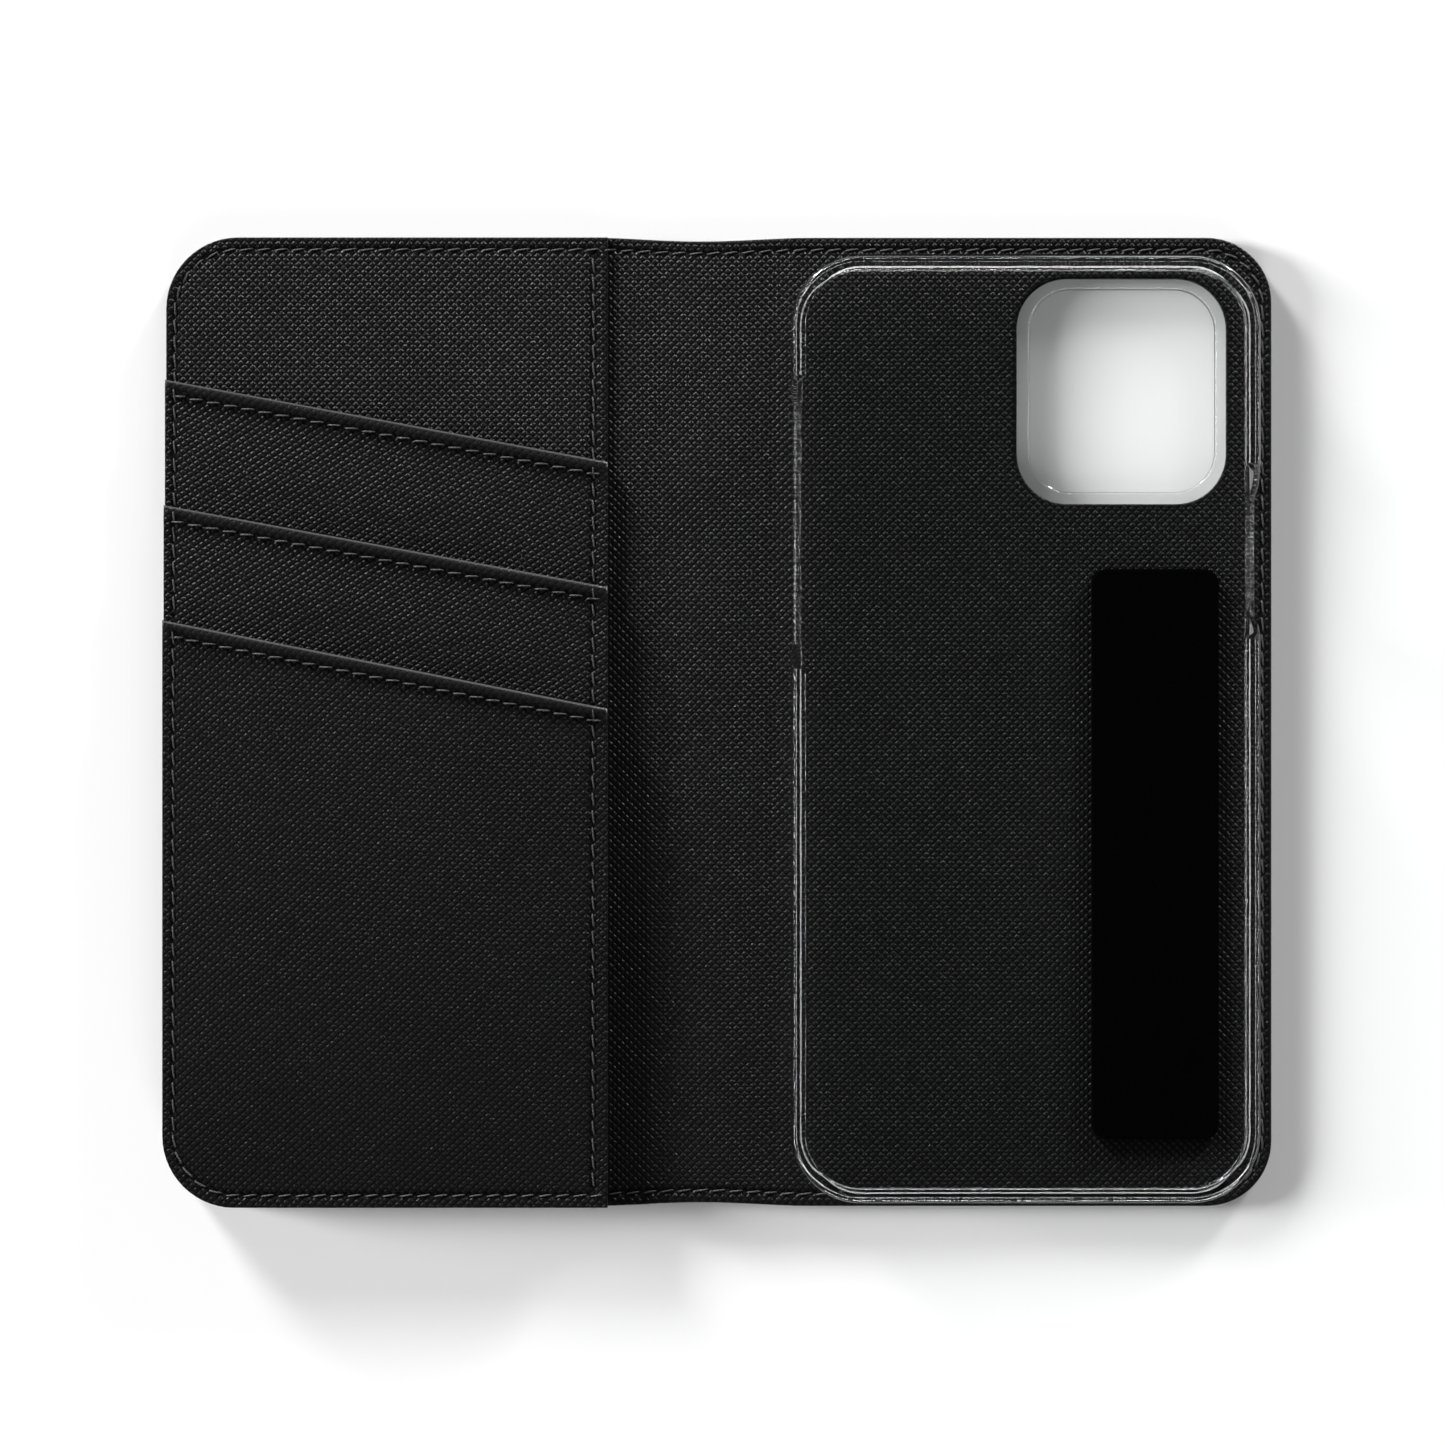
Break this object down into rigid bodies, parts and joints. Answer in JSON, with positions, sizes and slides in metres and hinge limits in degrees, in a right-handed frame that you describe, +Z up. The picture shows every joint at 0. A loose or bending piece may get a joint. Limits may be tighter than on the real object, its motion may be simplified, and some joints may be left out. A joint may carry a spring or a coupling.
{
  "type": "phone wallet case",
  "caption": "Open folio phone wallet with slanted card pockets, a cash pocket, a soft spine and a clear snap-in phone shell with camera window.",
  "frame": {"origin": "centre of the open case's footprint, on the surface it lies on", "axes": "+X from the front cover to the phone side, +Y to the camera end, +Z up out of the inner faces"},
  "size_m": [0.176, 0.154, 0.0124],
  "materials": {
    "outer_leather": "black crosshatch-embossed coated leather, satin",
    "lining_leather": "black crosshatch-embossed coated leather, satin",
    "pocket_leather": "black crosshatch-embossed coated leather, satin, folded hems",
    "board": "grey stiffening board, matte",
    "tape": "black bonded fabric tape, matte",
    "thread": "black bonded polyester sewing thread, slight sheen",
    "foam_pad": "black adhesive foam, matte",
    "clear_shell": "clear polycarbonate, polished"
  },
  "bodies": {
    "back_cover": {"back_outer_skin": "outer_leather", "back_board": "board", "back_lining": "lining_leather", "shell_adhesive_pad": "foam_pad", "phone_shell": "clear_shell", "back_edge_thread": "thread"},
    "spine": {"spine_outer_skin": "outer_leather", "spine_interlining": "tape", "spine_lining": "lining_leather", "spine_top_thread": "thread", "spine_bottom_thread": "thread", "front_crease_skin": "outer_leather", "front_crease_lining": "lining_leather", "back_crease_skin": "outer_leather", "back_crease_lining": "lining_leather"},
    "front_cover": {"front_outer_skin": "outer_leather", "front_board": "board", "front_lining": "lining_leather", "pocket_backing": "pocket_leather", "card_pocket_rear": "pocket_leather", "card_pocket_middle": "pocket_leather", "card_pocket_front": "pocket_leather", "seam_tape_cash": "tape", "seam_tape_rear": "tape", "seam_tape_middle": "tape", "seam_tape_front": "tape", "front_edge_thread": "thread", "pocket_side_thread": "thread", "hem_thread_rear": "thread", "hem_thread_middle": "thread", "hem_thread_front": "thread"}
  },
  "joints": [
    {"name": "back_crease", "type": "hinge", "parent": "back_cover", "child": "spine", "pos_m": [0.0092, 0, 0.0011], "axis": [0, 1, 0], "range_deg": [-90, 90], "deforming": ["back_crease_skin", "back_crease_lining"]},
    {"name": "front_crease", "type": "hinge", "parent": "spine", "child": "front_cover", "pos_m": [-0.0092, 0, 0.0011], "axis": [0, 1, 0], "range_deg": [-90, 90], "deforming": ["front_crease_skin", "front_crease_lining"]}
  ]
}
